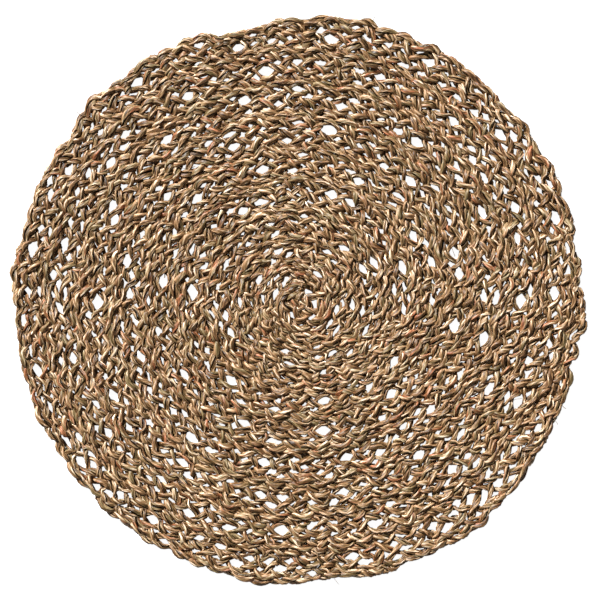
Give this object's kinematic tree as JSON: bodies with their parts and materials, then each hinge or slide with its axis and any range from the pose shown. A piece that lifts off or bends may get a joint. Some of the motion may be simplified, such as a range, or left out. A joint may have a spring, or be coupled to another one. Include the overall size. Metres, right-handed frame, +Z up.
{
  "type": "seagrass placemat",
  "caption": "Round table mat coiled from one flat open plait of twisted seagrass cord, joined edge to edge, with a scalloped rim.",
  "frame": {"origin": "middle of the mat's box, on the flat underside that lies on the table", "axes": "+Z up through the thickness; +X and +Y across the mat, +Y towards the hollow in the rim"},
  "size_m": [0.3716, 0.3692, 0.0072],
  "materials": {
    "seagrass": "twisted seagrass cord, tan to olive with cream and russet strips, half matt"
  },
  "bodies": {
    "root": {"plaited_mat": "seagrass"}
  },
  "joints": []
}
